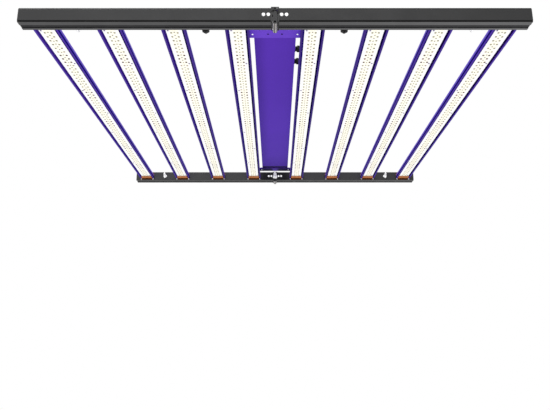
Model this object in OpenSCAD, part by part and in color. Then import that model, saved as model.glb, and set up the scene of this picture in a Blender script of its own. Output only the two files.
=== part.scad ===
// Folding LED grow light: two half frames of four light bars each, hinged along the
// middle, with one long driver box standing over the fold on two cross brackets.
// X runs along the rails, Y along the light bars, Z up. The lights face down.
// Millimetres. The origin is under the middle of the light, level with the hinge barrels.

/* [Frame] */
// Width over the ends of the rails
frame_w = 1100; // [1060:10:1200]
// Length over the outer faces of the two rails
frame_l = 1156; // [1000:2:1300]
// Height of a rail
rail_h = 33.8; // [33:0.1:36]
// Depth of a rail, from its outer face to its inner face
rail_d = 34.5; // [34:0.1:36]
// Wall thickness of a rail
rail_wall = 2; // [1.6:0.1:2.4]
// Depth of the slanted strip along each edge of a rail
slant_d = 1.8; // [1:0.1:2]
// Height of the slanted strip along each edge of a rail
slant_h = 3.7; // [2:0.1:4]
// Thickness of the plate that closes a rail's end
cap_t = 2; // [1.5:0.1:3]

/* [Light bars] */
// Distance between neighbouring bars of one half
bar_pitch = 141; // [120:0.2:146]
// Distance between the two bars beside the fold
centre_pitch = 167.6; // [160:0.2:172]
// Width of a bar
bar_w = 53.5; // [52:0.5:56]
// Height of a bar
bar_h = 17; // [15:0.1:18]
// Height of the bars' underside above the rails' underside
bar_lift = 8; // [7:0.1:10]
// Width of an LED board
board_w = 35.8; // [34:0.2:38]
// Thickness of an LED board
board_t = 1.6; // [1.2:0.1:2]
// How far the LED board sits back from the bar's underside
board_recess = 3; // [1:0.1:4]

/* [Fold hinges] */
// Radius of the hinge barrel
barrel_r = 5.5; // [5.2:0.1:5.6]
// Depth of the hinge axis below the rails' underside
barrel_drop = 0.4; // [0.4:0.1:1]
// Length of the barrel, from the rail's outer face inwards
barrel_l = 35.7; // [35:0.1:44]
// Radius of the hinge pin
hinge_pin_r = 2.5; // [2:0.1:3]
// How far each hinge casting reaches from the fold
leaf_w = 8.7; // [8:0.1:10]
// How far a hinge casting stands above the rail
leaf_rise = 1.3; // [1:0.1:2]
// Depth at which the lugs of the two castings change over
lug_split = 18; // [16:0.5:20]
// Radius of the lock pin
lock_pin_r = 2; // [1.8:0.1:2.4]

/* [Hanging eyes] */
// Distance from the eye's centre to its wire's centre
eye_r = 9.25; // [9:0.05:10]
// Radius of the eye's wire
eye_wire_r = 2.25; // [2:0.05:2.5]
// Width of the flat land inside the eye
eye_land = 2.4; // [2:0.1:3]

/* [Driver] */
// Width of the driver box
driver_w = 97; // [92:1:100]
// Length of the driver box
driver_l = 960; // [900:2:964]
// Height of the driver box above its base plate
driver_h = 64; // [60:0.5:66]
// Wall thickness of the driver's cover and end panels
driver_wall = 2.5; // [2:0.1:3]
// Thickness of the driver's base plate
base_t = 2.5; // [2:0.1:3]
// Length of a cross bracket
bracket_l = 187; // [184:1:190]
// Width of a cross bracket
bracket_w = 32; // [30:1:34]
// Thickness of a cross bracket
bracket_t = 3; // [2.5:0.1:3.5]
// Distance from a rail's outer face to the middle of the near cross bracket
bracket_in = 91; // [90:0.5:94]
// Diameter of the round sockets and the dimmer knob
socket_d = 14.5; // [14:0.1:16]
// Radius of the opening of each socket
socket_bore_r = 5.2; // [5:0.1:5.6]
// Depth of the opening of each socket
socket_bore_l = 8; // [7:0.5:9]

/* [Inlets on the front rail] */
// How far an inlet reaches from the rail
inlet_l = 29; // [24:0.5:32]
// Radius over the corners of an inlet's nut
inlet_nut_r = 9; // [8.4:0.1:9.6]
// Length of an inlet's nut
inlet_nut_l = 9; // [8:0.5:12]

/* [Hidden] */
$fn = 48;

// Colours
rail_grey = [0.27, 0.27, 0.28];
casting_grey = [0.2, 0.2, 0.21];
steel = [0.78, 0.78, 0.8];
purple = [0.3, 0.17, 0.6];
board_white = [0.97, 0.97, 0.93];
copper_orange = [0.78, 0.42, 0.18];
black = [0.06, 0.06, 0.06];

// Gaps between pieces
slack = 0.2;
pin_gap = 0.05;

// Rail
rail_z = barrel_r + barrel_drop;
rail_mid = rail_h / 2;
half_w = frame_w / 2;
band_from = 13.6;
band_to = 25.4;
band_depth = 1.2;
hollow_z = rail_wall + band_depth;
cap_plug_l = 10;

// Hinge casting
leaf_proud = 1;
lug_reach = 4.4;
lug_foot_reach = 5.2;
lug_foot_h = 16.1;
flange_from = 5.9;
upper_flange_from = 4.7;
upper_flange_z = lug_foot_h + 0.8;
side_groove_d = 3;
groove_roof = 2;
knuckle_gap = 0.3;
plug_l = 31.3;
plug_wall = 4.5;
hinge_screw_x = [14.2, 24.6];
hinge_screw_r = 2.4;
hinge_head_r = 3.8;
hinge_head_h = 2;
lock_z = rail_h - 2.1;
finger_slot_depth = 2.5;
pin_recess = 4;
pin_head_r = 4;
pin_head_t = 1.2;
hex_socket_r = 1.6;

// Lock lever
lever_from = rail_d + leaf_proud + knuckle_gap;
lever_boss_t = 1.4;
lever_t = 2.2;
lever_arm = 25.4;
lever_top_w = 8.6;
lever_top = rail_h + leaf_rise - lock_z - slack;
lever_low_w = 16.4;
thumb_l = 6;

// Bars
bar_x = [for (i = [0 : 3]) centre_pitch / 2 + i * bar_pitch];
plate_t = 1.5;
bar_end = frame_l / 2 - rail_d - plate_t;
bar_z = rail_z + bar_lift;
bar_top = bar_z + bar_h;
bar_bevel_w = 3.8;
bar_bevel_h = 1.6;
flank_slant = 1.3;
flank_foot = 1.5;
board_z = bar_z + board_recess;
trough_h = board_recess + board_t;
trough_lip = 4;
slot_w = 4.2;
slot_cavity_w = 8.6;
slot_lip = 1.8;
slot_depth = 5.1;
cavity_x0 = 6.3;
cavity_x1 = bar_w / 2 - 2.6;
cavity_z0 = trough_h + 1.8;
cavity_z1 = bar_h - 1.8;

// Bar end brackets
plate_w = 52;
plate_z0 = 2.9;
plate_h = 29;
plate_corner = 3;
plate_screws = [[-23, 5.3], [23, 5.3], [0, 28.7]];
foot_plate_w = 40;
foot_plate_l = 21;
foot_plate_t = 1.2;
tongue_l = 14;
small_screw_r = 1.5;
small_head_r = 2.4;
small_head_h = 1.4;
board_screw_r = 1;
board_head_r = 2;
board_head_h = 1.2;
board_screw_l = 3.2;
board_screw_x = 13.4;
board_screw_y = [for (k = [-3 : 4]) -79.5 + 148.5 * k];
wire_x = 15.2;
wire_hole_r = 2.2;
wire_z = bar_lift + 10.25;

// Fittings on the rails
eye_x = bar_x[2] + bar_pitch / 2;
eye_out = 13.5;
inlet_x = bar_x[0] + bar_pitch / 2;
wire_y = 12;
wire_r = 1.5;
bundle_r = 3.2;

// Driver
bracket_y = frame_l / 2 - bracket_in;
bracket_z = bar_top;
base_z = bracket_z + bracket_t;
cover_z = base_z + base_t;
driver_top = cover_z + driver_h;
panel_y = driver_l / 2;
outer_screw_x = bar_x[0];
inner_screw_x = 51.5;
foot_w = 114;
foot_l = 21;
m4_r = 1.95;
m4_hole_r = 2.05;
m4_head_r = 3.9;
m4_head_h = 2.4;
front_socket_z = driver_top - 22;
front_socket_x = 29.3;
front_socket_l = 18;
side_socket_y = [-360, -298];
side_socket_z = driver_top - 34;
side_socket_l = 29.5;
side_nut_r = 9.6;
side_nut_l = 4.5;
side_nut_from = 7.5;
panel_screws = [[37, driver_h - 7], [43.2, 3.4]];

// ---- Helpers -------------------------------------------------------------------

// The front rail's own frame: y from its outer face inwards, z from its underside
module front_frame() {
    translate([0, -frame_l / 2, rail_z]) children();
}

// The same frame at the front (end = -1) or, mirrored, at the rear (end = 1)
module at_rail(end) {
    if (end < 0) front_frame() children();
    else mirror([0, 1, 0]) front_frame() children();
}

// A right-hand piece as it is (side = 1), or mirrored for the left half (side = -1)
module on_side(side) {
    if (side < 0) mirror([1, 0, 0]) children();
    else children();
}

// An outline drawn in Y and Z, drawn out along +X
module along_x(length) {
    rotate([90, 0, 90]) linear_extrude(length) children();
}

// An outline drawn in X and Z, drawn out along Y, centred
module along_y(length) {
    rotate([90, 0, 0]) linear_extrude(length, center = true) children();
}

// A cylinder that starts at its origin and runs along +Y
module rod_y(r, length) {
    rotate([-90, 0, 0]) cylinder(r = r, h = length);
}

module round_rect(width, height, corner) {
    square([width - 2 * corner, height], center = true);
    square([width, height - 2 * corner], center = true);
    for (x = [-1, 1], y = [-1, 1]) {
        translate([x * (width / 2 - corner), y * (height / 2 - corner)]) circle(corner);
    }
}

// A button-head screw: head above z = 0, shank below it
module screw(shank_r, shank_l, head_r, head_h) {
    difference() {
        union() {
            cylinder(r = head_r, h = head_h * 0.55);
            translate([0, 0, head_h * 0.55]) cylinder(r1 = head_r, r2 = head_r * 0.62, h = head_h * 0.45);
            translate([0, 0, -shank_l]) cylinder(r = shank_r, h = shank_l);
        }
        translate([0, 0, head_h * 0.4]) cylinder(r = head_r * 0.42, h = head_h, $fn = 6);
    }
}

// A round panel socket standing on z = 0, with a blind opening at its far end
module socket(length, tail) {
    r = socket_d / 2;
    difference() {
        union() {
            cylinder(r = r + 1, h = 3, $fn = 6);
            cylinder(r = r - 1.6, h = length);
            translate([0, 0, 5]) cylinder(r = r, h = length - 5);
            translate([0, 0, -tail]) cylinder(r = r - 1.7, h = tail);
        }
        translate([0, 0, length - socket_bore_l]) cylinder(r = socket_bore_r, h = length);
        for (a = [0 : 30 : 330]) {
            rotate(a) translate([r, 0, 6.5]) cylinder(r = 0.6, h = length - 9);
        }
    }
}

// ---- Rails ---------------------------------------------------------------------

module rail_outline() {
    d = slant_d;
    h = slant_h;
    polygon([
        [d, 0], [band_from, 0], [band_from, band_depth], [band_to, band_depth], [band_to, 0],
        [rail_d - d, 0], [rail_d, h], [rail_d, rail_h - h], [rail_d - d, rail_h],
        [band_to, rail_h], [band_to, rail_h - band_depth],
        [band_from, rail_h - band_depth], [band_from, rail_h],
        [d, rail_h], [0, rail_h - h], [0, h],
    ]);
}

module hollow_outline(gap) {
    translate([rail_wall + gap, hollow_z + gap])
        square([rail_d - 2 * (rail_wall + gap), rail_h - 2 * (hollow_z + gap)]);
}

module rail(side, end) {
    color(rail_grey) at_rail(end) on_side(side) difference() {
        translate([leaf_w, 0, 0]) along_x(half_w - cap_t - leaf_w) difference() {
            rail_outline();
            hollow_outline(0);
        }
        for (x = hinge_screw_x) translate([x, -1, rail_mid]) rod_y(hinge_screw_r + slack, rail_d + 2);
        translate([eye_x, rail_d - rail_wall - 1, rail_mid]) rod_y(3 + pin_gap, rail_wall + 2);
        if (end < 0) {
            translate([inlet_x, rail_d - rail_wall - 1, rail_mid]) rod_y(socket_d / 2 - 1.6, rail_wall + 2);
            for (x = bar_x) {
                translate([x + wire_x, rail_d - rail_wall - 1, wire_z]) rod_y(wire_hole_r, rail_wall + 2);
            }
        }
    }
}

module end_caps(side) {
    color(casting_grey) for (end = [-1, 1]) at_rail(end) on_side(side) {
        translate([half_w - cap_t, 0, 0]) along_x(cap_t) rail_outline();
        translate([half_w - cap_t - cap_plug_l, 0, 0]) along_x(cap_plug_l) difference() {
            hollow_outline(slack);
            translate([rail_wall * 2, hollow_z + rail_wall])
                square([rail_d - 4 * rail_wall, rail_h - 2 * (hollow_z + rail_wall)]);
        }
    }
}

// ---- Fold hinges ---------------------------------------------------------------

// Where the lug of a casting lies, as [from, to] along y
function lug_span(outer) = outer
    ? [-leaf_proud, lug_split]
    : [lug_split + knuckle_gap, rail_d + leaf_proud];

function knuckle_span(outer) = outer
    ? [-leaf_proud, lug_split]
    : [lug_split + knuckle_gap, barrel_l];

// One casting on the right of the fold. The lug is the outer or the inner one.
module hinge_leaf(outer) {
    lug = lug_span(outer);
    knuckle = knuckle_span(outer);
    difference() {
        union() {
            translate([flange_from, -leaf_proud, 0])
                cube([leaf_w - flange_from, rail_d + 2 * leaf_proud, rail_h + leaf_rise]);
            translate([upper_flange_from, side_groove_d - leaf_proud, upper_flange_z])
                cube([leaf_w - upper_flange_from, rail_d + 2 * leaf_proud - side_groove_d,
                    rail_h + leaf_rise - upper_flange_z]);
            translate([upper_flange_from, -leaf_proud, rail_h + leaf_rise - groove_roof])
                cube([leaf_w - upper_flange_from, side_groove_d + 1, groove_roof]);
            translate([-lug_reach, lug[0], 0])
                cube([leaf_w + lug_reach, lug[1] - lug[0], rail_h + leaf_rise]);
            translate([-lug_foot_reach, lug[0], 0])
                cube([leaf_w + lug_foot_reach, lug[1] - lug[0], lug_foot_h]);
            translate([0, knuckle[0], -barrel_drop]) rod_y(barrel_r, knuckle[1] - knuckle[0]);
            hinge_plug();
        }
        translate([0, -leaf_proud - 1, -barrel_drop]) rod_y(hinge_pin_r + pin_gap, barrel_l + 4);
        translate([0, -leaf_proud - 1, lock_z]) rod_y(lock_pin_r + pin_gap, rail_d + 4);
        if (outer) finger_slots();
        for (x = hinge_screw_x) translate([x, 0, rail_mid]) rod_y(hinge_screw_r, rail_d);
    }
}

// The tongue of the casting inside the rail, hollowed from its far end
module hinge_plug() {
    difference() {
        translate([leaf_w, 0, 0]) along_x(plug_l) hollow_outline(slack);
        translate([leaf_w + plug_wall, 0, 0]) along_x(plug_l)
            translate([rail_wall + plug_wall, hollow_z + plug_wall])
                square([rail_d - 2 * (rail_wall + plug_wall), rail_h - 2 * (hollow_z + plug_wall)]);
    }
}

// The two recesses in the outer face of the outer lug
module finger_slots() {
    translate([-lug_reach - 1, -leaf_proud - 1, rail_h - 8.4])
        cube([11, finger_slot_depth + 1, 2.7]);
    translate([lug_reach, -leaf_proud - 1, lug_foot_h - 6.1]) cube([1.8, finger_slot_depth + 1, 6.1]);
}

module left_hinge(end) {
    color(casting_grey) at_rail(end) mirror([1, 0, 0]) hinge_leaf(true);
}

module right_hinge(end) {
    color(casting_grey) at_rail(end) hinge_leaf(false);
}

module hinge_screws(side) {
    shank = rail_wall + plug_wall - 0.5;
    color(steel) for (end = [-1, 1], x = hinge_screw_x) at_rail(end) on_side(side) {
        translate([x, 0, rail_mid]) rotate([90, 0, 0])
            screw(hinge_screw_r - pin_gap, shank, hinge_head_r, hinge_head_h);
        translate([x, rail_d, rail_mid]) rotate([-90, 0, 0])
            screw(hinge_screw_r - pin_gap, shank, hinge_head_r, hinge_head_h);
    }
}

module hinge_pin(end) {
    pin_from = pin_recess - leaf_proud;
    color(steel) at_rail(end) translate([0, 0, -barrel_drop]) difference() {
        union() {
            translate([0, pin_from, 0]) rod_y(hinge_pin_r, barrel_l - pin_from);
            translate([0, barrel_l + slack, 0]) rod_y(pin_head_r, pin_head_t);
            translate([0, barrel_l, 0]) rod_y(hinge_pin_r, slack);
        }
        translate([0, pin_from - 1, 0]) rotate([-90, 0, 0]) cylinder(r = hex_socket_r, h = 4, $fn = 6);
    }
}

// The lever turns about the lock pin, which it carries, and hangs against the rail
module lock_lever(end) {
    pin_from = lug_split + knuckle_gap;
    blade_from = lever_from + lever_boss_t;
    color(steel) at_rail(end) translate([0, 0, lock_z]) {
        translate([0, pin_from, 0]) rod_y(lock_pin_r, blade_from - pin_from);
        translate([0, lever_from, 0]) rod_y(lever_top - 0.4, lever_boss_t);
        translate([0, blade_from, 0]) intersection() {
            rotate([90, 0, 0]) mirror([0, 0, 1]) linear_extrude(lever_t) polygon([
                [-lever_top_w / 2 + 1, lever_top], [lever_top_w / 2 - 1, lever_top],
                [lever_top_w / 2, lever_top - 1],
                [lever_low_w / 2, -lever_arm + 5], [lever_low_w / 2, -lever_arm],
                [-lever_low_w / 2, -lever_arm], [-lever_low_w / 2, -lever_arm + 5],
                [-lever_top_w / 2, lever_top - 1],
            ]);
            rod_y(lever_arm, lever_t);
        }
        translate([-lever_low_w / 2 + 1, blade_from + lever_t, -lever_arm + 1.5])
            along_x(lever_low_w - 2) polygon([[0, 7], [0, 4.5], [thumb_l, 0], [thumb_l, 2]]);
    }
}

// ---- Light bars ----------------------------------------------------------------

module bar_outline() {
    w = bar_w / 2;
    t = board_w / 2 + slack;
    s = slot_w / 2;
    c = slot_cavity_w / 2;
    h = bar_h;
    polygon([
        [-w, 0], [-t - trough_lip, 0], [-t, board_recess], [-t, trough_h],
        [t, trough_h], [t, board_recess], [t + trough_lip, 0], [w, 0], [w, flank_foot],
        [w - flank_slant, h - bar_bevel_h], [w - bar_bevel_w, h], [s, h], [s, h - slot_lip],
        [c, h - slot_lip], [c, h - slot_depth], [-c, h - slot_depth], [-c, h - slot_lip],
        [-s, h - slot_lip], [-s, h], [-w + bar_bevel_w, h],
        [flank_slant - w, h - bar_bevel_h], [-w, flank_foot],
    ]);
}

// The hollow on the right of a bar's middle
module cavity_outline() {
    polygon([
        [cavity_x0, cavity_z0], [cavity_x1, cavity_z0], [cavity_x1, cavity_z1 - 1.1],
        [cavity_x1 - 2.6, cavity_z1], [cavity_x0, cavity_z1],
    ]);
}

// The place of bar i, counted from the left
function place_x(i) = i < 4 ? -bar_x[3 - i] : bar_x[i - 4];

// Places its children where bar i has its board screws, alternately on either side
module at_board_screws(i) {
    for (k = [0 : len(board_screw_y) - 1]) {
        x = k % 2 == 0 ? -board_screw_x : board_screw_x;
        translate([place_x(i) + x, board_screw_y[k], board_z]) children();
    }
}

module bar(i) {
    color(purple) difference() {
        translate([place_x(i), 0, bar_z]) along_y(2 * bar_end) difference() {
            bar_outline();
            cavity_outline();
            mirror([1, 0]) cavity_outline();
        }
        at_board_screws(i) cylinder(r = board_screw_r + pin_gap, h = cavity_z0 + 1);
    }
}

module led_board(i) {
    color(board_white) difference() {
        translate([place_x(i), 0, board_z + board_t / 2])
            cube([board_w, 2 * bar_end - 2 * slack, board_t], center = true);
        at_board_screws(i) translate([0, 0, -1]) cylinder(r = board_screw_r + pin_gap, h = board_t + 2);
    }
}

// The plate between a bar's end and the rail, with two tongues inside the bar. The front
// plate lets the wires through; the rear one has a foot under the end of the LED board.
module bar_bracket(x, front) {
    tongue_w = cavity_x1 - cavity_x0 - 2 * slack;
    tongue_h = cavity_z1 - cavity_z0 - 1.1 - 2 * slack;
    tongue_z = bar_lift + cavity_z0 + slack;
    translate([x, rail_d, 0]) difference() {
        union() {
            translate([0, plate_t, plate_z0 + plate_h / 2]) rotate([90, 0, 0])
                linear_extrude(plate_t) round_rect(plate_w, plate_h, plate_corner);
            for (s = [0, 1]) mirror([s, 0, 0])
                translate([cavity_x0 + slack, plate_t, tongue_z]) cube([tongue_w, tongue_l, tongue_h]);
            if (!front) translate([-foot_plate_w / 2, 0, bar_lift])
                cube([foot_plate_w, plate_t + foot_plate_l, foot_plate_t]);
        }
        for (p = plate_screws) translate([p[0], -1, p[1]]) rod_y(small_screw_r + pin_gap, plate_t + 2);
        if (front) translate([wire_x, -1, wire_z]) rod_y(wire_hole_r, tongue_l + plate_t + 2);
    }
}

// side = -1 for the left half and 1 for the right half
module bar_brackets(side) {
    color(copper_orange) for (end = [-1, 1], x = bar_x) {
        at_rail(end) on_side(side) bar_bracket(x, end < 0);
    }
}

// The screws that hold the brackets to the rails and the LED boards to the bars
module bar_screws(side) {
    color(steel) {
        for (end = [-1, 1], x = bar_x, p = plate_screws) {
            at_rail(end) on_side(side) translate([x + p[0], rail_d + plate_t, p[1]]) rotate([-90, 0, 0])
                screw(small_screw_r, plate_t - slack, small_head_r, small_head_h, $fn = 20);
        }
        for (i = side < 0 ? [0 : 3] : [4 : 7]) at_board_screws(i) mirror([0, 0, 1])
            screw(board_screw_r, board_screw_l, board_head_r, board_head_h, $fn = 20);
    }
}

// ---- Fittings on the rails -----------------------------------------------------

module hanging_eyes(side) {
    bore_r = eye_r - sqrt(pow(eye_wire_r, 2) - pow(eye_land / 2, 2));
    color(steel) for (end = [-1, 1]) at_rail(end) on_side(side) translate([eye_x, rail_d, rail_mid]) {
        translate([0, eye_out, 0]) rotate([0, 90, 0]) rotate_extrude() intersection() {
            translate([eye_r, 0]) circle(eye_wire_r);
            translate([bore_r, -eye_r]) square(2 * eye_r);
        }
        rod_y(6.5, 1.6);
        translate([0, 1.6, 0]) rod_y(3.2, eye_out - eye_r - 1.6);
        translate([0, -rail_wall - 7, 0]) rod_y(3, rail_wall + 7);
        translate([0, -rail_wall - 4, 0]) rotate([-90, 0, 0]) cylinder(r = 5.8, h = 4, $fn = 6);
    }
}

// A round inlet with a hexagonal nut over its mouth
module inlet(side) {
    r = socket_d / 2;
    color(black) at_rail(-1) on_side(side) translate([inlet_x, rail_d, rail_mid]) rotate([-90, 0, 0])
        difference() {
            union() {
                translate([0, 0, -10]) cylinder(r = r - 1.7, h = 10);
                cylinder(r = r + 1, h = 3);
                cylinder(r = r - 1, h = inlet_l - 1);
                translate([0, 0, inlet_l - inlet_nut_l - 1.5]) rotate(30)
                    cylinder(r = inlet_nut_r, h = inlet_nut_l, $fn = 6);
                translate([0, 0, inlet_l - 1]) cylinder(r1 = r - 1, r2 = r - 1.5, h = 1);
            }
            translate([0, 0, inlet_l - socket_bore_l]) cylinder(r = socket_bore_r, h = inlet_l);
        }
}

// The lead in the front rail, with a branch into each bar
module wiring(side) {
    color(black) at_rail(-1) on_side(side) {
        translate([bar_x[0] + wire_x - bundle_r, wire_y, wire_z]) rotate([0, 90, 0])
            cylinder(r = bundle_r, h = bar_x[3] - bar_x[0] + 2 * bundle_r);
        for (x = bar_x) translate([x + wire_x, wire_y, wire_z]) rod_y(wire_r, rail_d + 18);
        translate([inlet_x, wire_y, rail_mid]) rod_y(wire_r * 1.5, rail_d - 10 - wire_y);
    }
}

// ---- Driver --------------------------------------------------------------------

module slot_nuts(side) {
    nut_h = slot_depth - slot_lip - slack;
    color(steel) for (y = [-1, 1]) {
        translate([side * outer_screw_x, y * bracket_y, bar_top - slot_lip - nut_h]) difference() {
            translate([-slot_cavity_w / 2 + slack, -6, 0]) cube([slot_cavity_w - 2 * slack, 12, nut_h]);
            translate([0, 0, -1]) cylinder(r = m4_hole_r, h = nut_h + 2);
        }
    }
}

module cross_bracket(end) {
    color(purple) translate([0, end * bracket_y, bracket_z]) difference() {
        linear_extrude(bracket_t) round_rect(bracket_l, bracket_w, 5);
        for (s = [-1, 1]) {
            translate([s * outer_screw_x, 0, -1]) cylinder(r = m4_hole_r, h = bracket_t + 2);
            translate([s * inner_screw_x, 0, -1]) cylinder(r = m4_hole_r, h = bracket_t + 2);
            translate([s * 70.4, 0, -1]) cylinder(r = 1.7, h = bracket_t + 2);
            translate([s * 16, 0, -1]) cylinder(r = 1.7, h = bracket_t + 2);
        }
    }
}

module cross_bracket_screws() {
    color(steel) for (end = [-1, 1], s = [-1, 1]) {
        translate([s * outer_screw_x, end * bracket_y, base_z])
            screw(m4_r, bracket_t + slot_depth - slack, m4_head_r, m4_head_h);
        translate([s * inner_screw_x, end * bracket_y, cover_z])
            screw(m4_r, base_t + bracket_t + 1, m4_head_r, m4_head_h);
    }
}

module driver_base() {
    foot_y = bracket_y + bracket_w / 2 - 5 - foot_l / 2;
    color(purple) translate([0, 0, base_z]) difference() {
        linear_extrude(base_t) {
            square([driver_w, driver_l], center = true);
            for (end = [-1, 1]) translate([0, end * foot_y]) round_rect(foot_w, foot_l, 5);
        }
        for (end = [-1, 1], s = [-1, 1]) {
            translate([s * inner_screw_x, end * bracket_y, -1]) cylinder(r = m4_hole_r, h = base_t + 2);
        }
    }
}

// The cover's outline in X and Z, from the base plate up
module cover_outline() {
    w = driver_w / 2;
    t = driver_wall;
    difference() {
        polygon([
            [-w, 0], [w, 0], [w, driver_h - 1],
            [w - 1, driver_h], [-w + 1, driver_h], [-w, driver_h - 1],
        ]);
        translate([-w + t, -1]) square([driver_w - 2 * t, driver_h - t + 1]);
    }
}

module driver_cover() {
    color(purple) translate([0, 0, cover_z]) difference() {
        union() {
            along_y(driver_l - 2 * driver_wall) cover_outline();
            for (s = [-1, 1], end = [-1, 1], p = panel_screws) {
                boss_top = p[1] > driver_h / 2 ? driver_h - 1 : p[1] + 3.2;
                translate([s * (p[0] + 1) - 4, end * (panel_y - driver_wall - 12) - 12, p[1] - 3.2])
                    cube([8, 24, boss_top - p[1] + 3.2]);
            }
        }
        for (s = [-1, 1], end = [-1, 1], p = panel_screws) {
            translate([s * p[0], end * (panel_y - 14), p[1]]) rotate([90, 0, 0])
                cylinder(r = small_screw_r + pin_gap, h = 30, center = true);
        }
        for (y = side_socket_y) translate([driver_w / 2 - driver_wall - 1, y, side_socket_z - cover_z])
            rotate([0, 90, 0]) cylinder(r = socket_d / 2 - 1.6, h = driver_wall + 2);
    }
}

// An end panel at y = 0, its outer face towards -Y
module panel_plate(holes) {
    difference() {
        translate([-driver_w / 2, 0, 0]) cube([driver_w, driver_wall, driver_h]);
        for (s = [-1, 1], p = panel_screws) {
            translate([s * p[0], -1, p[1]]) rod_y(small_screw_r + pin_gap, driver_wall + 2);
        }
        children();
    }
}

// A shallow arrow mark, pressed into the front panel
module arrow_mark() {
    polygon([[-7, 2.4], [0, -0.8], [7, 2.4], [7, 0.4], [0, -3], [-7, 0.4]]);
}

module driver_front_panel() {
    z = front_socket_z - cover_z;
    color(purple) translate([0, -panel_y, cover_z]) panel_plate() {
        for (x = [-front_socket_x, front_socket_x]) {
            translate([x, -1, z]) rod_y(socket_d / 2 - 1.6, driver_wall + 2);
        }
        translate([0, -1, z]) rod_y(3 + pin_gap, driver_wall + 2);
        for (s = [-1, 1]) translate([s * 14.6, 0, z - 25]) along_y(1.2) arrow_mark();
    }
}

module driver_rear_panel() {
    color(purple) mirror([0, 1, 0]) translate([0, -panel_y, cover_z]) panel_plate();
}

module driver_panel_screws() {
    color(steel) for (end = [-1, 1], s = [-1, 1], p = panel_screws) {
        translate([s * p[0], end * panel_y, cover_z + p[1]]) rotate([end < 0 ? 90 : -90, 0, 0])
            screw(small_screw_r, 10, 2.7, 1.8);
    }
}

module driver_circuit_board() {
    color([0.1, 0.4, 0.2]) translate([0, 0, cover_z + 8]) cube([84, 900, 1.6], center = true);
    color(steel) for (x = [-36, 36], y = [-430 : 215 : 430]) {
        translate([x, y, cover_z]) cylinder(r = 2.5, h = 7.2);
    }
}

module driver_coils() {
    color([0.75, 0.6, 0.2]) for (y = [-210, 60, 300]) translate([-14, y, cover_z + 8.8]) {
        translate([-20, -24, 0]) cube([40, 48, 12]);
        translate([0, 0, 12]) cylinder(r = 16, h = 16);
        translate([-20, -24, 28]) cube([40, 48, 12]);
    }
}

module driver_capacitors() {
    color(black) for (y = [-130 : 34 : 6]) translate([22, y, cover_z + 8.8]) difference() {
        cylinder(r = 12.5, h = 38);
        translate([0, 0, 32]) difference() {
            cylinder(r = 14, h = 1);
            translate([0, 0, -1]) cylinder(r = 12, h = 3);
        }
    }
}

module driver_heat_spreader() {
    x = driver_w / 2 - driver_wall;
    color(steel) translate([-x, -250, cover_z + 12]) difference() {
        cube([9, 700, 40]);
        translate([4, -1, 4]) cube([6, 702, 40]);
    }
}

module front_socket(x) {
    color(black) translate([x, -panel_y, front_socket_z]) rotate([90, 0, 0])
        socket(front_socket_l, driver_wall + 9);
}

// The knob on its shaft, with the dimmer's body behind the panel
module dimmer_knob() {
    r = socket_d / 2;
    color(black) translate([0, -panel_y, front_socket_z]) {
        translate([0, -slack, 0]) rotate([90, 0, 0]) difference() {
            union() {
                cylinder(r = r - 0.6, h = 3);
                translate([0, 0, 3]) cylinder(r = r, h = front_socket_l - 4.2);
                translate([0, 0, front_socket_l - 1.2]) cylinder(r1 = r, r2 = r - 1, h = 1);
            }
            for (a = [15 : 30 : 345]) rotate(a) translate([r + 0.5, 0, 4]) cylinder(r = 1.1, h = 30);
            translate([-0.5, 1, front_socket_l - 0.8]) cube([1, r, 2]);
        }
        translate([0, -slack - 0.1, 0]) rod_y(3, driver_wall + 8);
        translate([0, driver_wall + slack, 0]) rod_y(8, 7);
    }
}

module output_sockets() {
    color(black) for (y = side_socket_y) {
        translate([driver_w / 2, y, side_socket_z]) rotate([0, 90, 0]) {
            socket(side_socket_l, driver_wall + 8);
            translate([0, 0, side_nut_from]) cylinder(r = side_nut_r, h = side_nut_l, $fn = 6);
        }
    }
}

// ---- Nodes ---------------------------------------------------------------------

rail(-1, -1);  // front_left_rail
rail(1, -1);  // front_right_rail
rail(-1, 1);  // rear_left_rail
rail(1, 1);  // rear_right_rail
end_caps(-1);  // left_end_caps
end_caps(1);  // right_end_caps
left_hinge(-1);  // front_left_hinge
right_hinge(-1);  // front_right_hinge
left_hinge(1);  // rear_left_hinge
right_hinge(1);  // rear_right_hinge
hinge_screws(-1);  // left_hinge_screws
hinge_screws(1);  // right_hinge_screws
hinge_pin(-1);  // front_hinge_pin
hinge_pin(1);  // rear_hinge_pin
lock_lever(-1);  // front_lock_lever
lock_lever(1);  // rear_lock_lever
bar(0);  // bar_1
bar(1);  // bar_2
bar(2);  // bar_3
bar(3);  // bar_4
bar(4);  // bar_5
bar(5);  // bar_6
bar(6);  // bar_7
bar(7);  // bar_8
led_board(0);  // led_board_1
led_board(1);  // led_board_2
led_board(2);  // led_board_3
led_board(3);  // led_board_4
led_board(4);  // led_board_5
led_board(5);  // led_board_6
led_board(6);  // led_board_7
led_board(7);  // led_board_8
bar_brackets(-1);  // left_bar_brackets
bar_brackets(1);  // right_bar_brackets
bar_screws(-1);  // left_bar_screws
bar_screws(1);  // right_bar_screws
hanging_eyes(-1);  // left_hanging_eyes
hanging_eyes(1);  // right_hanging_eyes
inlet(-1);  // left_inlet
inlet(1);  // right_inlet
wiring(-1);  // left_wiring
wiring(1);  // right_wiring
slot_nuts(-1);  // left_slot_nuts
slot_nuts(1);  // right_slot_nuts
cross_bracket(-1);  // front_cross_bracket
cross_bracket(1);  // rear_cross_bracket
cross_bracket_screws();
driver_base();
driver_cover();
driver_front_panel();
driver_rear_panel();
driver_panel_screws();
driver_circuit_board();
driver_coils();
driver_capacitors();
driver_heat_spreader();
front_socket(-front_socket_x);  // mains_inlet
front_socket(front_socket_x);  // signal_port
dimmer_knob();
output_sockets();
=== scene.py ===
"""Looks of the folding LED grow light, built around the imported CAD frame. Metres, in the CAD frame."""

import math
import random

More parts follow.
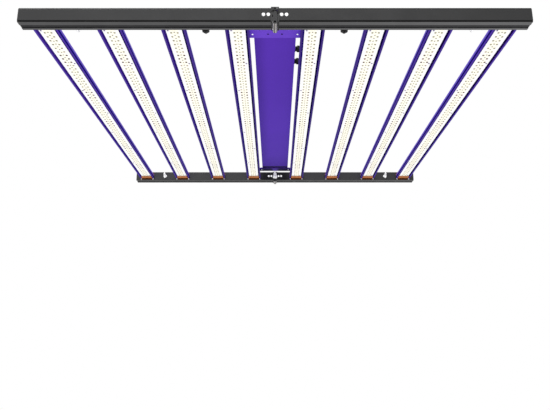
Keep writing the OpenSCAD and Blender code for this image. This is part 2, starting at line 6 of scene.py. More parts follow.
import bmesh
import bpy
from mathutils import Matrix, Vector


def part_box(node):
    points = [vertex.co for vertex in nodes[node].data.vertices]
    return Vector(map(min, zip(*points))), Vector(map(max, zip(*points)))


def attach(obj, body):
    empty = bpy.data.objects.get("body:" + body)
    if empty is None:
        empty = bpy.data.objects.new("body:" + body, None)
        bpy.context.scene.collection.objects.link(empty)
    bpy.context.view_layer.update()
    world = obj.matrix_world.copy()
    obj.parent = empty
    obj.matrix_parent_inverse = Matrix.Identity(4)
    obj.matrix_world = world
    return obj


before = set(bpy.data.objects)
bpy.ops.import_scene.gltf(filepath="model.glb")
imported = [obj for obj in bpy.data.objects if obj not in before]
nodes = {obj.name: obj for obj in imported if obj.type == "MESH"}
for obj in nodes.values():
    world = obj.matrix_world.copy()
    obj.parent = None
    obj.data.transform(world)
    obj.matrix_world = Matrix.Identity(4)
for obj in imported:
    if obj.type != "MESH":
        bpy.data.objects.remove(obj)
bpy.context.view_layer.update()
MM = 0.001


# ---- Materials -----------------------------------------------------------------

class Paint:
    """A Principled material whose colour, roughness and bump come from node textures in object coordinates."""

    def __init__(self, name, **constants):
        self.material = bpy.data.materials.new(name)
        self.material.use_nodes = True
        self.tree = self.material.node_tree
        self.tree.nodes.clear()
        output = self.add("ShaderNodeOutputMaterial")
        self.shader = self.add("ShaderNodeBsdfPrincipled")
        self.tree.links.new(self.shader.outputs[0], output.inputs[0])
        for socket, value in constants.items():
            self.shader.inputs[socket.replace("_", " ")].default_value = value
        self.place = self.add("ShaderNodeTexCoord").outputs["Object"]
        self.height = None
        self.metal = None

    def add(self, kind, **settings):
        node = self.tree.nodes.new(kind)
        for key, value in settings.items():
            setattr(node, key, value)
        return node

    def plug(self, node, socket, value):
        """Links an output to a socket, or sets the socket to a number or colour."""
        if isinstance(value, bpy.types.NodeSocket):
            self.tree.links.new(value, node.inputs[socket])
        else:
            if isinstance(value, tuple) and len(value) == 3 and len(node.inputs[socket].default_value) == 4:
                value = (*value, 1.0)
            node.inputs[socket].default_value = value

    def math(self, operation, a, b=0.0, c=0.0):
        node = self.add("ShaderNodeMath", operation=operation)
        for index, value in enumerate((a, b, c)):
            self.plug(node, index, value)
        return node.outputs[0]

    def axis(self, which, place=None):
        node = self.add("ShaderNodeSeparateXYZ")
        self.plug(node, 0, place or self.place)
        return node.outputs["XYZ".index(which)]

    def stretched(self, scale):
        node = self.add("ShaderNodeVectorMath", operation="MULTIPLY")
        self.plug(node, 0, self.place)
        self.plug(node, 1, scale)
        return node.outputs[0]

    def noise(self, scale, stretch=None, detail=3.0, rough=0.55):
        node = self.add("ShaderNodeTexNoise")
        self.plug(node, "Vector", self.stretched(stretch) if stretch else self.place)
        self.plug(node, "Scale", float(scale))
        self.plug(node, "Detail", detail)
        self.plug(node, "Roughness", rough)
        return node.outputs["Fac"]

    def ramp(self, value, low, high, to_low=0.0, to_high=1.0):
        """Maps low..high to to_low..to_high, clamped and smooth."""
        node = self.add("ShaderNodeMapRange", interpolation_type="SMOOTHSTEP")
        for socket, v in (("Value", value), ("From Min", low), ("From Max", high),
                          ("To Min", to_low), ("To Max", to_high)):
            self.plug(node, socket, v)
        return node.outputs[0]

    def blend(self, share, a, b, mode="MIX"):
        node = self.add("ShaderNodeMix", data_type="RGBA", blend_type=mode)
        self.plug(node, 0, share)
        self.plug(node, 6, a)
        self.plug(node, 7, b)
        return node.outputs[2]

    def edge(self, radius):
        """1 along convex and concave edges, 0 on flats."""
        soft = self.add("ShaderNodeBevel", samples=4)
        self.plug(soft, "Radius", radius)
        flat = self.add("ShaderNodeNewGeometry").outputs["Normal"]
        dot = self.add("ShaderNodeVectorMath", operation="DOT_PRODUCT")
        self.plug(dot, 0, soft.outputs[0])
        self.plug(dot, 1, flat)
        return self.ramp(self.math("SUBTRACT", 1.0, dot.outputs["Value"]), 0.02, 0.25)

    def within(self, value, low, high, soft=0.1 * MM):
        """1 where low < value < high."""
        return self.math("MULTIPLY", self.ramp(value, low - soft, low + soft),
                         self.ramp(value, high - soft, high + soft, 1.0, 0.0))

    def facing(self, which):
        """1 where the surface faces along an axis of the object, either way."""
        normal = self.add("ShaderNodeTexCoord").outputs["Normal"]
        return self.ramp(self.math("ABSOLUTE", self.axis(which, normal)), 0.6, 0.8)

    def rail_depth(self):
        """Distance from the outer face of the nearer rail."""
        return self.math("SUBTRACT", 0.578, self.math("ABSOLUTE", self.axis("Y")))

    def colour(self, value):
        self.plug(self.shader, "Base Color", value)

    def roughness(self, value):
        self.plug(self.shader, "Roughness", value)

    def bump(self, height, distance, strength=1.0):
        node = self.add("ShaderNodeBump")
        self.plug(node, "Height", height)
        self.plug(node, "Distance", distance)
        self.plug(node, "Strength", strength)
        if self.height is not None:
            self.plug(node, "Normal", self.height)
        self.height = node.outputs[0]
        self.plug(self.shader, "Normal", self.height)


METAL = 0.35


def powder_coat(name, dark, light, shade):
    """Satin dark grey powder coat: orange peel, faint mottling and paler worn edges."""
    p = Paint(name, Metallic=0.0, Specular_IOR_Level=0.15)
    mottle = p.noise(9, detail=4.0)
    colour = p.blend(mottle, dark, light)
    fine = p.noise(700, detail=2.0)
    colour = p.blend(p.ramp(fine, 0.62, 0.78, 0.0, 0.25), colour, tuple(c * 1.6 for c in light))
    colour = shade(p, colour)
    worn = p.math("MULTIPLY", p.edge(0.7 * MM), p.ramp(p.noise(60), 0.42, 0.7))
    colour = p.blend(p.math("MULTIPLY", worn, 0.5), colour, (0.3, 0.3, 0.31))
    p.colour(colour)
    p.roughness(p.ramp(p.noise(25, detail=5.0), 0.3, 0.7, 0.38, 0.5))
    p.bump(fine, 0.05 * MM, 0.5)
    return p.material


def rail_shade(p, colour):
    """The slanted outer strips carry a painted dark reflection, the recessed bands are darker, and the rail beside
    the hinges carries a painted shadow of the driver.
    Towards the right the outer faces are painted a little darker and the undersides lighter, a painted light
    gradient."""
    y = p.rail_depth()
    z = p.math("ABSOLUTE", p.math("SUBTRACT", p.axis("Z"), RAIL_MID))
    # Painted dark reflection on the slanted outer strips.
    ends = p.ramp(z, RAIL_HALF - 3.9 * MM, RAIL_HALF - 3.5 * MM)
    strip = p.math("MULTIPLY", ends, p.ramp(y, 1.7 * MM, 2.0 * MM, 1.0, 0.0))
    colour = p.blend(p.math("MULTIPLY", strip, 0.9), colour, (0.004, 0.004, 0.004))
    band = p.math("MULTIPLY", p.within(y, 13.5 * MM, 25.5 * MM), ends)
    colour = p.blend(p.math("MULTIPLY", band, 0.92), colour, (0.006, 0.006, 0.007))
    # Painted shadow of the driver on the inner face beside the hinges.
    inner = p.ramp(y, 33.0 * MM, 34.0 * MM)
    beside = p.ramp(p.math("ABSOLUTE", p.axis("X")), 40 * MM, 75 * MM, 1.0, 0.0)
    colour = p.blend(p.math("MULTIPLY", p.math("MULTIPLY", inner, beside), 0.85), colour, (0.01, 0.01, 0.012))
    # Painted light gradient from left to right.
    x = p.axis("X")
    painted_light_gain = p.blend(p.facing("Z"), p.ramp(x, -0.5, 0.55, 1.0, 0.76), p.ramp(x, -0.1, 0.55, 1.08, 1.7))
    return p.blend(1.0, colour, painted_light_gain, "MULTIPLY")


def casting_shade(p, colour):
    """Sunken floors, the slots in the outer face and the gaps beside the barrel are painted black: painted shade in
    these hollows.
    """
    x, z = p.axis("X"), p.math("SUBTRACT", p.axis("Z"), BARREL_Z)
    aside = p.math("ABSOLUTE", x)
    sunken = p.within(p.rail_depth(), 0.5 * MM, 30 * MM)
    band = p.math("MULTIPLY", p.within(z, 22.0 * MM, 26.5 * MM), p.ramp(aside, 1.5 * MM, 2.5 * MM))
    strip = p.math("MULTIPLY", p.within(x, 4.2 * MM, 8.2 * MM), p.within(z, 18.0 * MM, 30.0 * MM))
    upright = p.math("MAXIMUM", sunken, p.math("MAXIMUM", band, strip))
    upright = p.math("MULTIPLY", upright, p.facing("Y"))
    gap = p.math("MULTIPLY", p.within(aside, 5.5 * MM, 8.7 * MM), p.facing("Z"))
    gap = p.math("MULTIPLY", gap, p.ramp(z, 2.0 * MM, 4.0 * MM, 1.0, 0.0))
    return p.blend(p.math("MAXIMUM", upright, gap), colour, (0.002, 0.002, 0.002))


def hinge_coat(name):
    """The coated casting, bare and bright round its barrel, which has fine lines along it, drawn in its colour as
    painted reflection streaks, and a painted dark reflection down its middle; the coat round the pin's hole is
    painted black as shade.
    """
    p = Paint(name, Specular_IOR_Level=0.3)
    z = p.math("SUBTRACT", p.axis("Z"), BARREL_Z)
    x = p.axis("X")
    reach = p.math("SQRT", p.math("ADD", p.math("MULTIPLY", x, x), p.math("MULTIPLY", z, z)))
    barrel = p.math("MULTIPLY", p.ramp(reach, 5.55 * MM, 5.7 * MM, 1.0, 0.0),
                    p.math("SUBTRACT", 1.0, p.facing("Y")))
    rings = p.noise(380, (1.0, 0.03, 1.0), detail=3.0)
    grain = p.noise(600, detail=3.0)
    coat = p.blend(p.noise(14, detail=4.0), (0.045, 0.045, 0.046), (0.062, 0.062, 0.064))
    coat = p.blend(p.math("MULTIPLY", p.edge(0.6 * MM), 0.5), coat, (0.16, 0.16, 0.165))
    coat = casting_shade(p, coat)
    # Painted reflection: the streaks along the barrel and the dark stripe down its middle.
    bare = p.blend(p.ramp(rings, 0.35, 0.65), (0.3, 0.28, 0.27), (0.95, 0.93, 0.92))
    bare = p.blend(p.within(x, -1.8 * MM, 0.6 * MM, 0.5 * MM), bare, (0.06, 0.05, 0.045))
    # Painted shade: the coat round the pin's hole is near-black.
    mouth = p.ramp(reach, 2.2 * MM, 2.7 * MM, 1.0, 0.0)
    coat = p.blend(mouth, coat, (0.001, 0.001, 0.001))
    p.colour(p.blend(barrel, coat, bare))
    p.plug(p.shader, "Metallic", barrel)
    p.roughness(p.blend(barrel, p.ramp(grain, 0.3, 0.7, 0.4, 0.55), p.ramp(rings, 0.3, 0.7, 0.2, 0.35)))
    p.bump(grain, 0.04 * MM, 0.5)
    return p.material


def anodised(name, base, deep, shade, along="Y"):
    """Satin purple anodised aluminium with fine extrusion lines along one axis, and painted highlights along its
    edges.
    """
    stretch = {"Y": (1.0, 0.012, 1.0), "X": (0.012, 1.0, 1.0)}[along]
    tint = (0.2, 0.08, 0.6, 1.0)
    p = Paint(name, Metallic=METAL, Specular_Tint=tint, Specular_IOR_Level=0.1)
    lines = p.noise(1300, stretch, detail=3.0, rough=0.7)
    broad = p.noise(7, (1.0, 0.35, 1.0), detail=3.0)
    colour = p.blend(p.ramp(broad, 0.3, 0.7), base, deep)
    colour = p.blend(p.ramp(lines, 0.5, 0.8, 0.0, 0.35), colour, tuple(min(1.0, c * 1.35 + 0.01) for c in base))
    colour = shade(p, colour)
    # Painted highlights along the edges.
    edges = p.edge(0.5 * MM)
    colour = p.blend(p.math("MULTIPLY", edges, 0.35), colour, tuple(min(1.0, c * 2.0 + 0.04) for c in base))
    p.colour(colour)
    if p.metal is not None:
        p.plug(p.shader, "Metallic", p.metal)
    p.roughness(p.ramp(lines, 0.25, 0.8, 0.32, 0.48))
    p.bump(lines, 0.02 * MM, 0.5)
    return p.material


def bar_shade(p, colour):
    """Painted light and shade: trough walls, slot and lower flanks are painted darker as shade; flanges, upper
    flanks, the tops of the outer bars and bevels are painted lighter as light and highlights.
    """
    aside = p.math("ABSOLUTE", p.axis("X"))
    side = p.math("WRAP", p.math("SUBTRACT", aside, BAR_X[0]), BAR_PITCH / 2, -BAR_PITCH / 2)
    off = p.math("ABSOLUTE", side)
    right = p.ramp(p.math("MULTIPLY", side, p.math("SIGN", p.axis("X"))), -1 * MM, 1 * MM)
    z = p.math("SUBTRACT", p.axis("Z"), BAR_LOW)
    # Painted light on the flanges, growing towards the outer bars.
    flange = p.math("MULTIPLY", p.ramp(z, 0.1 * MM, 0.3 * MM, 1.0, 0.0), p.ramp(off, 22.2 * MM, 22.6 * MM))
    flange = p.math("MULTIPLY", flange, p.ramp(aside, 0.05, 0.55, 0.1, 0.85))
    colour = p.blend(flange, colour, (0.08, 0.032, 0.38))
    # Painted shade on the trough walls.
    trough = p.math("MULTIPLY", p.within(z, 0.1 * MM, 4.8 * MM), p.ramp(off, 22.1 * MM, 22.2 * MM, 1.0, 0.0))
    wall = p.blend(right, (0.05, 0.022, 0.24), (0.016, 0.005, 0.07))
    colour = p.blend(p.math("MULTIPLY", trough, 0.98), colour, wall)
    # Painted shade low on the flanks, painted light higher up.
    flank = p.math("MULTIPLY", p.ramp(off, 25.2 * MM, 25.35 * MM), p.ramp(z, 0.1 * MM, 0.3 * MM))
    low = p.math("MULTIPLY", flank, p.ramp(z, 4.5 * MM, 7.5 * MM, 1.0, 0.0))
    upper = p.blend(p.ramp(z, 5.0 * MM, 13.0 * MM), (0.05, 0.012, 0.45), (0.27, 0.17, 0.9))
    colour = p.blend(p.math("MULTIPLY", flank, 0.95), colour, p.blend(low, upper, (0.012, 0.0005, 0.27)))
    # Painted light on the tops of the outer bars.
    top = p.math("MULTIPLY", p.ramp(z, 16.0 * MM, 16.5 * MM), p.ramp(aside, 0.3, 0.55, 0.0, 0.55))
    colour = p.blend(top, colour, (0.13, 0.07, 0.42))
    # Painted shade in the slot.
    slot = p.math("MULTIPLY", p.ramp(z, 10.5 * MM, 11.0 * MM), p.ramp(off, 2.2 * MM, 2.4 * MM, 1.0, 0.0))
    colour = p.blend(p.math("MULTIPLY", slot, 0.9), colour, (0.004, 0.002, 0.01))
    # Painted highlight on the bevels.
    bevel = p.math("MULTIPLY", p.ramp(z, 15.2 * MM, 15.5 * MM), p.ramp(off, 22.8 * MM, 23.1 * MM))
    p.metal = p.math("ADD", METAL, p.math("MULTIPLY", p.math("MAXIMUM", trough, low), 1.0 - METAL))
    return p.blend(p.math("MULTIPLY", bevel, 0.6), colour, (0.17, 0.1, 0.6))


def driver_shade(p, colour):
    """The cover is painted duller than the base, and lighter towards the rear, as painted light and shade. The
    pressed arrows are dark. The base is painted darker as shade towards the far end and the left, and near-black
    over the brackets.
    """
    y = p.math("ABSOLUTE", p.axis("Y"))
    # Painted shade on the base towards the far end and the left.
    low = p.ramp(p.axis("Z"), 34.0 * MM, 34.2 * MM, 1.0, 0.0)
    far = p.ramp(p.axis("Y"), 0.3, 0.47, 0.0, 0.35)
    left = p.ramp(p.axis("X"), -42 * MM, -15 * MM, 0.22, 0.0)
    colour = p.blend(p.math("MULTIPLY", p.math("MAXIMUM", far, left), low), colour, (0.02, 0.006, 0.11))
    # Painted light and shade: the cover is duller than the base and lighter towards the rear.
    cover = p.blend(p.ramp(p.axis("Y"), -0.5, 0.45), (0.066, 0.037, 0.22), (0.094, 0.05, 0.33))
    colour = p.blend(p.math("MULTIPLY", p.math("SUBTRACT", 1.0, low), 0.9), colour, cover)
    # Painted shade on the base over the brackets and in a strip in front of the rear one.
    covered = p.math("MULTIPLY", p.within(y, 471.5 * MM, 502.5 * MM), low)
    strip = p.math("MULTIPLY", p.within(p.axis("Y"), 455 * MM, 472 * MM, 1.5 * MM), low)
    colour = p.blend(p.math("MULTIPLY", p.math("MAXIMUM", covered, strip), 0.97), colour, (0.003, 0.001, 0.015))
    pressed = p.math("MULTIPLY", p.within(p.axis("Y"), -479.8 * MM, -478.5 * MM), p.facing("Y"))
    return p.blend(p.math("MULTIPLY", pressed, 0.9), colour, (0.01, 0.004, 0.03))


def cross_shade(p, colour):
    """The spare holes are painted dark as shade, and so is the underside of the rear bracket beside its middle."""
    x = p.math("SUBTRACT", p.math("ABSOLUTE", p.axis("X")), 16 * MM)
    y = p.math("SUBTRACT", p.math("ABSOLUTE", p.axis("Y")), BRACKET_Y)
    reach = p.math("SQRT", p.math("ADD", p.math("MULTIPLY", x, x), p.math("MULTIPLY", y, y)))
    # Painted shade in the spare holes.
    colour = p.blend(p.ramp(reach, 2.4 * MM, 2.9 * MM, 0.95, 0.0), colour, (0.01, 0.003, 0.06))
    # Painted shade under the rear bracket, weaker at its middle as painted light.
    rear = p.math("MULTIPLY", p.ramp(p.axis("Y"), 0.4, 0.45), p.ramp(p.axis("Z"), 31.2 * MM, 31.5 * MM, 1.0, 0.0))
    aside = p.ramp(p.math("ABSOLUTE", p.axis("X")), 4 * MM, 18 * MM, 0.6, 0.98)
    return p.blend(p.math("MULTIPLY", rear, aside), colour, (0.004, 0.001, 0.03))


def small_screw_shade(p, colour):
    """The board screws are painted a darker violet-grey than the bracket screws at the ends of the bars: painted
    shade.
    """
    return p.blend(p.ramp(p.math("ABSOLUTE", p.axis("Y")), 0.526, 0.53), (0.2, 0.16, 0.3), colour)


def bracket_shade(p, colour):
    """The end plates are painted dark below the feet under the LED boards and brown above the bars: painted shade.
    """
    # Painted shade above the bars.
    high = p.ramp(p.axis("Z"), 30.7 * MM, 31.0 * MM)
    colour = p.blend(p.math("MULTIPLY", high, 0.8), colour, (0.07, 0.022, 0.014))
    # Painted shade below the feet.
    low = p.math("MULTIPLY", p.ramp(p.rail_depth(), 36.3 * MM, 36.5 * MM, 1.0, 0.0),
                 p.ramp(p.axis("Z"), 13.9 * MM, 14.1 * MM, 1.0, 0.0))
    return p.blend(p.math("MULTIPLY", low, 0.9), colour, (0.04, 0.012, 0.006))


def fitting_shade(p, colour):
    """The end rings of the sockets are paler than their sides."""
    y, x = p.axis("Y"), p.axis("X")
    front = p.math("MULTIPLY", p.facing("Y"), p.ramp(y, -497.6 * MM, -497.2 * MM, 1.0, 0.0))
    front = p.math("MULTIPLY", front, p.ramp(y, -505.0 * MM, -504.0 * MM))
    side = p.math("MULTIPLY", p.facing("X"), p.within(x, 77.5 * MM, 78.5 * MM))
    return p.blend(p.math("MULTIPLY", p.math("MAXIMUM", front, side), 0.8), colour, (0.16, 0.16, 0.165))


def bright_steel(name, colour=(0.96, 0.96, 0.97), low=0.25, high=0.42, metal=1.0, painted_glow=0.0, shade=None):
    """Plated or bare metal, clouded and finely scratched. Its glow is painted light that makes up for the photo's
    blown-out whites.
    """
    p = Paint(name, Metallic=metal)
    cloud = p.noise(180, detail=4.0)
    tone = p.blend(p.ramp(cloud, 0.3, 0.75), colour, tuple(c * 0.72 for c in colour))
    if shade:
        tone = shade(p, tone)
    p.colour(tone)
    p.plug(p.shader, "Emission Color", tone)
    p.shader.inputs["Emission Strength"].default_value = painted_glow
    scratch = p.noise(2600, (1.0, 0.06, 1.0), detail=2.0)
    p.roughness(p.ramp(scratch, 0.3, 0.7, low, high))
    p.bump(scratch, 0.02 * MM, 0.4)
    return p.material


def moulded(name, colour, low=0.36, high=0.55, shade=None):
    """Moulded plastic: fine spark grain, rubbed edges."""
    p = Paint(name, Specular_IOR_Level=0.25)
    fine = p.noise(900, detail=3.0)
    base = p.blend(p.ramp(p.noise(120), 0.35, 0.7), colour, tuple(c * 1.5 + 0.004 for c in colour))
    base = p.blend(p.math("MULTIPLY", p.edge(0.5 * MM), 0.35), base, (0.13, 0.13, 0.13))
    if shade:
        base = shade(p, base)
    p.colour(base)
    p.roughness(p.ramp(fine, 0.3, 0.7, low, high))
    p.bump(fine, 0.04 * MM, 0.5)
    return p.material


def solder_mask(name):
    """White solder mask over the board, painted cream near the lamps as their glow, with faint copper tracks below.
    The mask also glows a little as painted light.
    """
    p = Paint(name, Specular_IOR_Level=0.45)
    x = p.math("SUBTRACT", p.math("ABSOLUTE", p.axis("X")), BAR_X[0])
    off = p.math("ABSOLUTE", p.math("WRAP", x, BAR_PITCH / 2, -BAR_PITCH / 2))
    # Painted glow: cream near the lamps.
    tint = p.ramp(off, 7.0 * MM, 12.0 * MM, 1.0, 0.0)
    spots = p.noise(40, detail=2.0)
    cream = p.blend(p.ramp(spots, 0.3, 0.7), (0.95, 0.93, 0.82), (0.94, 0.91, 0.77))
    mask = p.blend(p.noise(25), (0.9, 0.89, 0.9), (0.86, 0.86, 0.87))
    colour = p.blend(tint, mask, cream)
    p.colour(colour)
    p.roughness(p.ramp(p.noise(300), 0.3, 0.7, 0.28, 0.42))
    # Painted glow: the mask emits a little of its own colour.
    p.plug(p.shader, "Emission Color", colour)
    p.shader.inputs["Emission Strength"].default_value = 0.12
    track = p.math("ABSOLUTE", p.math("SUBTRACT", off, 4.2 * MM))
    p.bump(p.ramp(track, 1.4 * MM, 1.7 * MM, 1.0, 0.0), 0.04 * MM, 0.6)
    return p.material


def phosphor(name, colour):
    """A lens or phosphor window: smooth, faintly clouded and not lit."""
    p = Paint(name, Specular_IOR_Level=0.6)
    p.colour(p.blend(p.noise(500), colour, tuple(c * 0.75 for c in colour)))
    p.roughness(p.ramp(p.noise(900), 0.3, 0.7, 0.2, 0.35))
    return p.material


# ---- Dimensions, from the CAD nodes ----------------------------------------------

def middle(node):
    low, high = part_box(node)
    return (low + high) / 2


BAR_CENTRES = [middle(f"led_board_{i}").x for i in range(1, 9)]
BAR_X = sorted(x for x in BAR_CENTRES if x > 0)
BAR_PITCH = BAR_X[1] - BAR_X[0]
BAR_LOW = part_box("bar_1")[0].z
RAIL_MID = middle("front_left_rail").z
RAIL_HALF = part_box("front_left_rail")[1].z - RAIL_MID
BARREL_Z = middle("front_hinge_pin").z
BRACKET_Y = middle("rear_cross_bracket").y


# ---- Materials on the CAD nodes ----------------------------------------------------

RAIL = powder_coat("rail_coat", (0.058, 0.058, 0.059), (0.071, 0.071, 0.072), rail_shade)
CASTING = hinge_coat("casting_coat")
PURPLE = anodised("purple_extrusion", (0.05, 0.024, 0.19), (0.04, 0.019, 0.15), bar_shade)
# The driver and the cross brackets get brighter copies of the bars' purple: painted light.
DRIVER = anodised("purple_driver", (0.1, 0.032, 0.44), (0.09, 0.029, 0.4), driver_shade)
BRACKET = anodised("purple_bracket", (0.15, 0.06, 0.58), (0.135, 0.054, 0.53), cross_shade, "X")
STEEL = bright_steel("zinc_steel")
# The zinc screws, the small screws and the lever glow a little: painted light that brightens them.
ZINC = bright_steel("bright_zinc", (0.98, 0.98, 0.98), metal=0.1, painted_glow=0.4)
SMALL_SCREWS = bright_steel("small_screw_zinc", (0.98, 0.98, 0.98), metal=0.4, painted_glow=0.03, shade=small_screw_shade)
LEVER = bright_steel("lever_zinc", (0.95, 0.95, 0.95), metal=0.4, painted_glow=0.25)
# The pins are near-black so their sunken ends read as dark holes: painted shade.
DARK_STEEL = bright_steel("dark_pin_steel", (0.02, 0.02, 0.021), 0.4, 0.6)
COPPER = anodised("copper_plate", (0.62, 0.24, 0.08), (0.5, 0.18, 0.055), bracket_shade, "X")
BLACK = moulded("black_nylon", (0.005, 0.005, 0.005), shade=fitting_shade)
BOARD = solder_mask("board_mask")
WIRE = moulded("wire_rubber", (0.02, 0.02, 0.02))
FIBRE = moulded("circuit_board", (0.03, 0.16, 0.06))
TAPE = moulded("coil_tape", (0.5, 0.33, 0.06))
SLEEVE = moulded("capacitor_sleeve", (0.02, 0.025, 0.05))
MILL = bright_steel("mill_aluminium", (0.72, 0.72, 0.73), 0.3, 0.45)

COATS = [
    ("_rail", RAIL), ("_end_caps", RAIL), ("_hinge", CASTING), ("led_board", BOARD), ("_wiring", WIRE),
    ("bar_brackets", COPPER), ("driver_circuit", FIBRE), ("driver_coils", TAPE), ("driver_capacitors", SLEEVE),
    ("driver_heat", MILL), ("_cross_bracket", BRACKET), ("_inlet", BLACK),
    ("signal_port", BLACK), ("dimmer_knob", BLACK), ("output_sockets", BLACK), ("_pin", DARK_STEEL),
    ("_lever", LEVER), ("_eyes", LEVER), ("_nuts", STEEL), ("driver_", DRIVER), ("bar_", PURPLE),
]


def coat_of(node):
    if node.endswith("_screws"):
        return SMALL_SCREWS if "bar_screws" in node else ZINC
    for part, coat in COATS:
        if part in node:
            return coat
    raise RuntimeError(f"no material for {node}")


for name, obj in nodes.items():
    obj.data.materials.clear()
    obj.data.materials.append(coat_of(name))


# ---- LED packages --------------------------------------------------------------------

HOUSING = moulded("led_housing", (0.5, 0.48, 0.4), low=0.3, high=0.4)
WARM = phosphor("phosphor_warm", (0.2, 0.18, 0.075))
COOL = phosphor("phosphor_cool", (0.26, 0.22, 0.13))
RED = phosphor("lens_red", (0.075, 0.014, 0.018))
VIOLET = phosphor("lens_violet", (0.14, 0.09, 0.5))
PALE = phosphor("phosphor_pale", (0.3, 0.25, 0.2))
PINK = phosphor("phosphor_pink", (0.36, 0.18, 0.17))
RUBY = phosphor("lens_ruby", (0.3, 0.05, 0.07))
LED_MATERIALS = [HOUSING, WARM, COOL, RED, VIOLET, PALE, PINK, RUBY]

ROWS = 63
ROW_PITCH = 16.65 * MM
COLUMN_OFFSET = 7.2 * MM
RED_ROW_STEP = 200 * MM
RED_ROW_REACH = 22 * MM
PINK_ROW_REACH = 42 * MM
VIOLET_Y = 251 * MM


def led_package(bm, x, y, z, size, height, window, walls=0):
    """A square package under the board: walls round a sunken window, both given as material indices."""
    rim = size * 0.06
    sink = height * 0.25
    rings = []
    for half, depth in ((size / 2, 0.0), (size / 2, -height), (size / 2 - rim, -height),
                        (size / 2 - rim * 1.35, -height + sink)):
        rings.append([bm.verts.new((x + sx * half, y + sy * half, z + depth))
                      for sx, sy in ((-1, -1), (1, -1), (1, 1), (-1, 1))])
    for a, b in zip(rings, rings[1:]):
        for i in range(4):
            j = (i + 1) % 4
            bm.faces.new((a[i], b[i], b[j], a[j])).material_index = walls
    bm.faces.new(rings[-1]).material_index = window


def led_strip(index):
    """All LED packages of one board, as one piece."""
    rng = random.Random(index)
    board = f"led_board_{index}"
    low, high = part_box(board)
    x, z = (low.x + high.x) / 2, low.z
    bm = bmesh.new()
    for row in range(ROWS):
        y = (row - (ROWS - 1) / 2) * ROW_PITCH
        from_red = abs(y - RED_ROW_STEP * round(y / RED_ROW_STEP))
        for side in (-1, 1):
            window = rng.choice((1, 1, 2))
            if from_red < PINK_ROW_REACH:
                window = rng.choice((6, 6, 2))
            if from_red < RED_ROW_REACH:
                window = 7 if from_red < ROW_PITCH / 2 and x > 0 else 3
            walls = 3 if window in (3, 7) else 0
            led_package(bm, x + side * COLUMN_OFFSET, y, z, 4.2 * MM, 0.9 * MM, window, walls)
    count = round(ROWS * 4 / 3)
    for i in range(count):
        y = (i - (count - 1) / 2) * ROW_PITCH * 0.75
        window = 4 if abs(abs(y) - VIOLET_Y) < ROW_PITCH else 5
        led_package(bm, x, y, z, 3.2 * MM, 0.7 * MM, window)
    bmesh.ops.recalc_face_normals(bm, faces=bm.faces)
    mesh = bpy.data.meshes.new(f"leds_{index}")
    bm.to_mesh(mesh)
    bm.free()
    for material in LED_MATERIALS:
        mesh.materials.append(material)
    obj = bpy.data.objects.new(f"leds_{index}", mesh)
    bpy.context.scene.collection.objects.link(obj)
    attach(obj, "left_half" if index <= 4 else "right_half")


for i in range(1, 9):
    led_strip(i)


# ---- Contacts in the sockets -----------------------------------------------------------

BRASS = bright_steel("contact_brass", (0.78, 0.57, 0.25), 0.2, 0.35)
BORE_DEPTH = 8 * MM
OUTPUT_Y = (-360 * MM, -298 * MM)


def contact_pin(bm, foot, axis):
    """A round-nosed pin standing on foot, along axis."""
    turn = Vector((0, 0, 1)).rotation_difference(axis)
    rings = []
    for radius, height in ((0.75, -0.3), (0.75, 5.4), (0.55, 6.1), (0.2, 6.4)):
        rings.append([bm.verts.new(foot + turn @ (Vector((radius * math.cos(a), radius * math.sin(a), height)) * MM))
                      for a in (2 * math.pi * k / 12 for k in range(12))])
    for a, b in zip(rings, rings[1:]):
        for k in range(12):
            bm.faces.new((a[k], a[(k + 1) % 12], b[(k + 1) % 12], b[k]))
    bm.faces.new(rings[-1])
    bm.faces.new(list(reversed(rings[0])))


def contacts(name, body, mouths):
    """Three pins in each socket. mouths holds (middle of the mouth, axis out of the socket)."""
    bm = bmesh.new()
    for mouth, axis in mouths:
        side = axis.cross(Vector((0, 0, 1)))
        for k in range(3):
            angle = 2 * math.pi * (k / 3 + 0.25)
            offset = (side * math.cos(angle) + Vector((0, 0, math.sin(angle)))) * 2.7 * MM
            contact_pin(bm, mouth - axis * BORE_DEPTH + offset, axis)
    mesh = bpy.data.meshes.new(name)
    bm.to_mesh(mesh)
    bm.free()
    mesh.materials.append(BRASS)
    obj = bpy.data.objects.new(name, mesh)
    bpy.context.scene.collection.objects.link(obj)
    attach(obj, body)


def mouth_of(node, axis):
    """The middle of a socket's outer face."""
    low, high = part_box(node)
    return (low + high) / 2 + Vector(a * (h - l) / 2 for a, l, h in zip(axis, low, high)), axis


INWARDS, FORWARDS, RIGHT = Vector((0, 1, 0)), Vector((0, -1, 0)), Vector((1, 0, 0))
contacts("left_inlet_contacts", "left_half", [mouth_of("left_inlet", INWARDS)])
contacts("right_inlet_contacts", "right_half", [mouth_of("right_inlet", INWARDS)])
output_mouth = mouth_of("output_sockets", RIGHT)[0]
contacts("driver_contacts", "driver",
         [mouth_of("mains_inlet", FORWARDS), mouth_of("signal_port", FORWARDS)]
         + [(Vector((output_mouth.x, y, output_mouth.z)), RIGHT) for y in OUTPUT_Y])


# ---- Light and camera -----------------------------------------------------------

def area_light(name, place, target, size, power):
    lamp = bpy.data.lights.new(name, "AREA")
    lamp.shape = "RECTANGLE"
    lamp.size, lamp.size_y = size
    lamp.energy = power
    obj = bpy.data.objects.new(name, lamp)
    obj.location = place
    obj.rotation_mode = "QUATERNION"
    obj.rotation_quaternion = (Vector(target) - Vector(place)).to_track_quat("-Z", "Y")
    bpy.context.scene.collection.objects.link(obj)


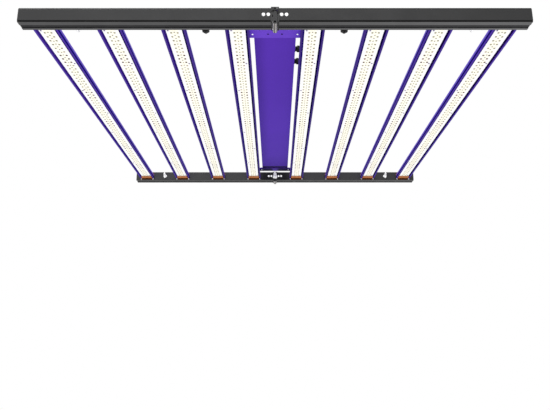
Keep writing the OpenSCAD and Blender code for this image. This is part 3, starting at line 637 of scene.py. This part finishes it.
def white_world():
    """White to the eye; as light, dim at the horizon and brighter overhead and underfoot."""
    world = bpy.data.worlds.new("studio")
    bpy.context.scene.world = world
    world.use_nodes = True
    tree = world.node_tree
    tree.nodes.clear()
    link = tree.links.new
    out = tree.nodes.new("ShaderNodeOutputWorld")
    seen = tree.nodes.new("ShaderNodeBackground")
    seen.inputs["Color"].default_value = (1, 1, 1, 1)
    seen.inputs["Strength"].default_value = 1.0
    light = tree.nodes.new("ShaderNodeBackground")
    up = tree.nodes.new("ShaderNodeSeparateXYZ")
    link(tree.nodes.new("ShaderNodeTexCoord").outputs["Generated"], up.inputs[0])
    total = None
    for far, strength in ((1.0, 0.5), (-1.0, 1.3)):
        part = tree.nodes.new("ShaderNodeMapRange")
        part.inputs["From Min"].default_value = -0.05 * far
        part.inputs["From Max"].default_value = 0.9 * far
        part.inputs["To Min"].default_value = 0.1
        part.inputs["To Max"].default_value = strength
        link(up.outputs[2], part.inputs["Value"])
        if total is None:
            total = part.outputs[0]
        else:
            both = tree.nodes.new("ShaderNodeMath")
            link(total, both.inputs[0])
            link(part.outputs[0], both.inputs[1])
            total = both.outputs[0]
    link(total, light.inputs["Strength"])
    light.inputs["Color"].default_value = (1, 1, 1, 1)
    path = tree.nodes.new("ShaderNodeLightPath")
    pick = tree.nodes.new("ShaderNodeMixShader")
    link(path.outputs["Is Camera Ray"], pick.inputs[0])
    link(light.outputs[0], pick.inputs[1])
    link(seen.outputs[0], pick.inputs[2])
    link(pick.outputs[0], out.inputs[0])


white_world()
area_light("key", (-1.2, -0.6, 2.6), (0, 0, 0), (2.0, 1.6), 40)
area_light("fill", (1.6, 1.2, 2.2), (0, 0, 0), (1.6, 1.6), 15)
area_light("front", (0, -2.7, 1.5), (0, -0.5, 0), (2.4, 1.2), 20)

camera = bpy.data.objects.new("camera", bpy.data.cameras.new("camera"))
camera.data.lens = 590 / 550 * 36
camera.data.sensor_width = 36
camera.data.shift_y = 3 / 550
camera.data.clip_end = 200
camera.location = (0, -1.6908, -0.6986)
camera.rotation_euler = (math.radians(90 + 14.8), 0, 0)
bpy.context.scene.collection.objects.link(camera)
bpy.context.scene.camera = camera
bpy.context.scene.view_settings.view_transform = "Standard"
